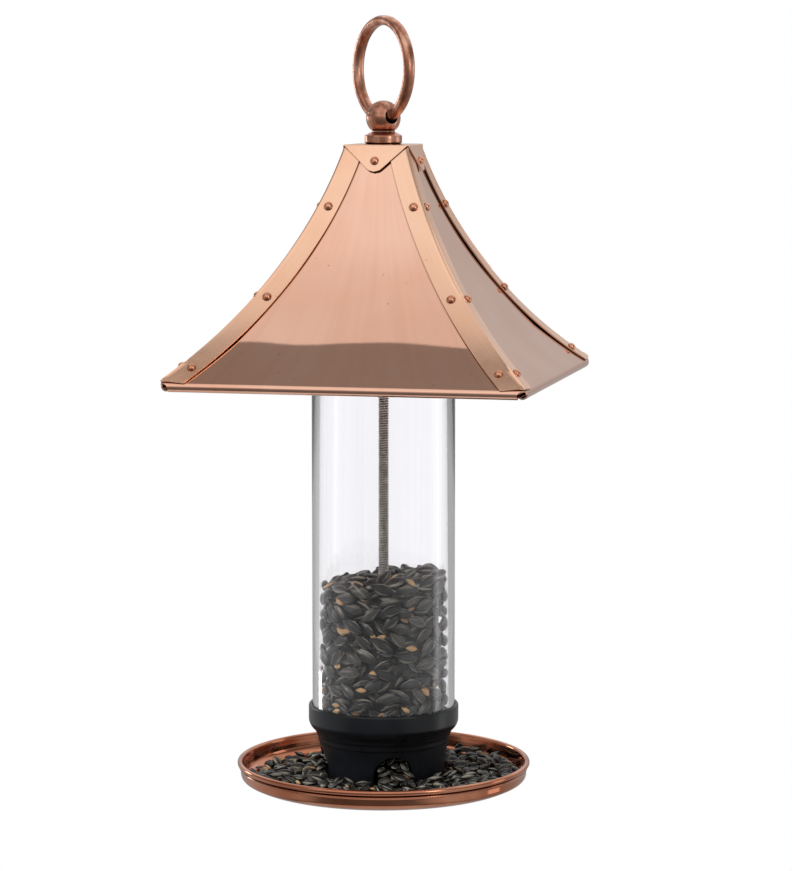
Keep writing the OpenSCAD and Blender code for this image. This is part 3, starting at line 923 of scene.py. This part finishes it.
def makeSeedShape():
    # one seed of unit size: a flattened drop with an edge each side, pointed at one end
    bm = bmesh.new()
    bm.loops.layers.uv.new("hullMap")
    edgeLayer = bm.verts.layers.float.new("seedEdge")
    bm.verts.layers.float.new("seedTone")
    bmesh.ops.create_uvsphere(bm, u_segments=10, v_segments=6, radius=1.0,
                              matrix=Matrix.Rotation(math.radians(90), 4, "Y"),
                              calc_uvs=True)
    for vert in bm.verts:
        x, y, z = vert.co
        vert[edgeLayer] = abs(y) ** 1.5
        pinch = (1 - 0.55 * max(0, x) ** 1.3) * (1 - 0.15 * max(0, -x))
        flat = 1 - 0.22 * abs(y)
        vert.co = Vector((x, y * pinch, z * pinch * flat))
    shape = bpy.data.meshes.new("seedShape")
    bm.to_mesh(shape)
    bm.free()
    return shape


def addSeed(bm, shape, matrix, seed):
    copy = shape.copy()
    copy.attributes["seedTone"].data.foreach_set("value", [seed["tone"]] * len(copy.vertices))
    copy.transform(matrix @ localMatrix(seed) @ Matrix.Diagonal((*seed["size"], 1)))
    bm.from_mesh(copy)
    bpy.data.meshes.remove(copy)


def heapTop(x, y):
    # the seed in the tube lies higher at one side, and a little higher in the middle
    lean = math.radians(seedSize["lean"])
    return seedSize["heap"] + 0.115 * (x * math.cos(lean) + y * math.sin(lean)) \
        + 2.4 * (1 - (x * x + y * y) / 784)


def fillTube(shape):
    dice = random.Random(41)
    wallRadius, low = 28.3, levels["collarTop"] - 9.8
    top = levels["collarTop"]
    around = math.tau * (wallRadius - 1.5)
    bm = bmesh.new()
    # the seed behind the ones that show is one dark core
    bmesh.ops.create_cone(bm, cap_ends=True, segments=48, radius1=23.4, radius2=23.0,
                          depth=56, matrix=Matrix.Translation((0, 0, low + 28)))
    field = layField(around, 72.0, wrap=True)
    laid = 0
    for n in range(1050):
        seed = laySeed(field, dice, lambda d: (d.uniform(0, around), d.uniform(3, 69)), 7,
                       seedSize["tubeLong"], yawSpread=0.85)
        if seed is None or seed["rest"] > 6:
            continue
        angle = -seed["x"] / around * math.tau
        out = Vector((math.cos(angle), math.sin(angle), 0))
        if low + seed["y"] + 2.5 > top + heapTop(out.x * 27, out.y * 27):
            continue
        pressDown(field, seed)
        tangent = Vector((math.sin(angle), -math.cos(angle), 0))
        axes = Matrix((tangent, Vector((0, 0, 1)), -out)).transposed().to_4x4()
        place = out * (wallRadius - seed["rest"]) + Vector((0, 0, low + seed["y"]))
        addSeed(bm, shape, Matrix.Translation(place) @ axes, seed)
        laid += 1
    print("seeds against the tube:", laid)
    field = layField(60.0, 60.0)
    xs = (np.arange(field["height"].shape[0]) + 0.5) * seedSize["grid"] - 30
    gx, gy = np.meshgrid(xs, xs, indexing="ij")
    field["height"] = heapTop(gx, gy) - 10.5
    field["blocked"] = (gx ** 2 + gy ** 2 > 28.2 ** 2) | (gx ** 2 + gy ** 2 < 2.6 ** 2)

    def anywhere(d):
        r, a = 27.0 * math.sqrt(d.random()), d.uniform(0, math.tau)
        return 30 + r * math.cos(a), 30 + r * math.sin(a)

    laid = 0
    for n in range(360):
        seed = laySeed(field, dice, anywhere, 6, seedSize["tubeLong"])
        if seed is None or seed["rest"] > heapTop(seed["x"] - 30, seed["y"] - 30) - 1.0:
            continue
        pressDown(field, seed)
        place = Vector((seed["x"] - 30, seed["y"] - 30, top + seed["rest"]))
        addSeed(bm, shape, Matrix.Translation(place), seed)
        laid += 1
    print("seeds on top:", laid)
    return makePiece(bm, "tubeSeed", sunflowerHull, "feeder", ["tube_seed"], 180)


def fillTray(shape):
    dice = random.Random(7)
    foot = levels["baseFoot"]
    bm = bmesh.new()
    field = layField(126.0, 126.0)
    xs = (np.arange(field["height"].shape[0]) + 0.5) * seedSize["grid"] - 63
    gx, gy = np.meshgrid(xs, xs, indexing="ij")
    far = np.hypot(gx, gy)
    angle = np.degrees(np.arctan2(gx, -gy)) - baseSize["portDirection"]
    offPort = np.abs((angle + 45) % 90 - 45)
    port = far * np.sin(np.radians(offPort)) < 8.0
    field["height"] = np.where(port & (far < 33), 11.5 - 0.9 * np.clip(far - 22, 0, 12), 0.2)
    field["height"] += np.clip(far - 58.0, 0, 4) * 1.0
    field["blocked"] = ((far < 28.2) & ~port) | (far > 61.6) | (far < 15)

    def anywhere(d):
        r, a = math.sqrt(d.uniform(28.5 ** 2, 61.0 ** 2)), d.uniform(0, math.tau)
        return 63 + r * math.cos(a), 63 + r * math.sin(a)

    def atPorts(d):
        a = math.radians(baseSize["portDirection"] + 90 * d.randrange(4))
        r, side = d.uniform(17, 36), d.uniform(-7, 7)
        return (63 + r * math.sin(a) + side * math.cos(a),
                63 - r * math.cos(a) + side * math.sin(a))

    count = 0
    for n in range(1600):
        spots = atPorts if n % 6 == 0 else anywhere
        seed = laySeed(field, dice, spots, 4, seedSize["trayLong"])
        if seed is None:
            continue
        x, y = seed["x"] - 63, seed["y"] - 63
        distance = math.hypot(x, y)
        limit = 6.6 - 0.05 * (distance - 28)
        if spots is atPorts:                  # seed banks up where it runs out
            limit = 13.6 - 0.75 * max(0, distance - 26)
        elif -x * 0.9 + y * 0.5 > 38:         # a thinner patch at one side
            limit = 2.6
        if seed["rest"] > limit:
            continue
        pressDown(field, seed)
        addSeed(bm, shape, Matrix.Translation((x, y, foot + seed["rest"])), seed)
        count += 1
    print("seeds in the tray:", count)
    return makePiece(bm, "traySeed", sunflowerHull, "feeder", ["tray_seed"], 180)


seedShape = makeSeedShape()
fillTube(seedShape)
fillTray(seedShape)
bpy.data.meshes.remove(seedShape)


# floor, light and camera

stageSize = {"floor": -2.1, "radius": 1.3}
bm = bmesh.new()
bmesh.ops.create_circle(bm, cap_ends=True, segments=96, radius=stageSize["radius"],
                        matrix=Matrix.Translation((0, 0, stageSize["floor"])))
mesh = bpy.data.meshes.new("floor")
bm.to_mesh(mesh)
bm.free()
floorMaterial, tree, surface, coords = startMaterial("paleStudioFloor", Roughness=0.9)
surface.inputs["Base Color"].default_value = hexColor("F2F2F2")
mesh.materials.append(floorMaterial)
floor = bpy.data.objects.new("floor", mesh)
bpy.context.scene.collection.objects.link(floor)

world = bpy.data.worlds.new("studio")
bpy.context.scene.world = world
world.use_nodes = True
tree = world.node_tree
tree.nodes.clear()
direction = addNode(tree, "ShaderNodeTexCoord")
parts = addNode(tree, "ShaderNodeSeparateXYZ", links={"Vector": direction.outputs["Generated"]})
height = addNode(tree, "ShaderNodeMapRange", values={"From Min": -1.0, "From Max": 1.0},
                 links={"Value": parts.outputs["Z"]})


def remap(source, low, high, start, end):
    return addNode(tree, "ShaderNodeMapRange",
                   values={"From Min": low, "From Max": high, "To Min": start, "To Max": end},
                   links={"Value": source}).outputs[0]


def compute(operation, *sources):
    return addNode(tree, "ShaderNodeMath", settings={"operation": operation},
                   links=dict(enumerate(sources))).outputs[0]


def blend(amount, first, second):
    node = addNode(tree, "ShaderNodeMix", links={0: amount, 2: first})
    if isinstance(second, float):
        node.inputs[3].default_value = second
    else:
        tree.links.new(second, node.inputs[3])
    return node.outputs[0]


# softboxes in front and behind, from low to high
bandLevels = {0.0: 0.12, 0.43: 0.17, 0.5: 0.38, 0.535: 0.46, 0.60: 0.54, 0.655: 0.95,
              0.78: 1.0, 0.90: 0.93, 0.965: 0.8, 1.0: 0.74}
bands = addRamp(tree, height.outputs[0],
                [(place, grey(level)) for place, level in bandLevels.items()])
# black flags high at both sides, and greyer walls low at both sides
backLow = compute("MULTIPLY", remap(parts.outputs["Y"], 0.0, 0.4, 0.0, 1.0),
                  remap(parts.outputs["Z"], -0.02, 0.03, 1.0, 0.0))
sideAmount = remap(compute("ABSOLUTE", parts.outputs["X"]), 0.58, 0.8, 0.0, 1.0)
sideLevel = remap(parts.outputs["Z"], 0.1, 0.25, 0.55, 0.25)
# a gap between the softboxes straight overhead, its edges square to the front
overhead = compute("MULTIPLY",
                   remap(compute("ABSOLUTE", parts.outputs["Y"]), 0.12, 0.145, 1.0, 0.0),
                   remap(parts.outputs["Z"], 0.7, 0.78, 0.0, 1.0))
studio = blend(overhead, blend(sideAmount, blend(backLow, bands, 0.42), sideLevel), 0.27)
path = addNode(tree, "ShaderNodeLightPath")
# what lights the matt pieces is a little weaker than what shows in the polished ones
level = compute("MULTIPLY", studio, remap(path.outputs["Is Diffuse Ray"], 0.0, 1.0, 1.0, 0.6))
# the backdrop is white straight behind, also when seen through both walls of the tube
through = addNode(tree, "ShaderNodeMath", settings={"operation": "GREATER_THAN"},
                  values={1: 3.5}, links={0: path.outputs["Transmission Depth"]})
seen = compute("MAXIMUM", path.outputs["Is Camera Ray"], through.outputs[0])
shade = blend(seen, level, 1.0)
glow = addNode(tree, "ShaderNodeBackground", values={"Strength": 1.0}, links={"Color": shade})
addNode(tree, "ShaderNodeOutputWorld", links={"Surface": glow.outputs[0]})


def addSoftbox(name, place, aim, size, power, shows):
    data = bpy.data.lights.new(name, "AREA")
    data.shape = "RECTANGLE"
    data.size, data.size_y = size
    data.energy = power
    light = bpy.data.objects.new(name, data)
    light.location = place
    light.rotation_euler = (Vector(aim) - Vector(place)).to_track_quat("-Z", "Y").to_euler()
    light.visible_glossy = shows
    bpy.context.scene.collection.objects.link(light)


addSoftbox("keySoftbox", (-1.2, -1.5, 1.0), (0, 0, -0.2), (0.7, 0.7), 34, False)
addSoftbox("leftRimSoftbox", (-1.5, 0.8, 0.0), (0, 0, -0.33), (0.3, 0.3), 2, True)
addSoftbox("rightRimSoftbox", (1.5, 0.65, -0.35), (0, 0, -0.33), (0.4, 1.3), 1.7, True)
addSoftbox("stripSoftbox", (1.5, -1.1, 0.35), (0, 0, -0.25), (0.35, 0.6), 3, True)

cameraSize = {"place": (0.3140, -1.3212, -0.0233), "turn": 13.37, "yaw": 0.0041,
              "pitch": 0.1149, "lens": 127.6}
data = bpy.data.cameras.new("camera")
data.lens = cameraSize["lens"]
data.sensor_width = 36
data.clip_start, data.clip_end = 0.05, 30
camera = bpy.data.objects.new("camera", data)
bpy.context.scene.collection.objects.link(camera)
aim = Vector((math.sin(cameraSize["yaw"]) * math.cos(cameraSize["pitch"]),
              math.cos(cameraSize["yaw"]) * math.cos(cameraSize["pitch"]),
              -math.sin(cameraSize["pitch"])))
aim.rotate(Matrix.Rotation(math.radians(cameraSize["turn"]), 3, "Z"))
camera.location = cameraSize["place"]
camera.rotation_euler = aim.to_track_quat("-Z", "Y").to_euler()
bpy.context.scene.camera = camera
bpy.context.scene.view_settings.view_transform = "Standard"

print("stage, lights and camera ready")
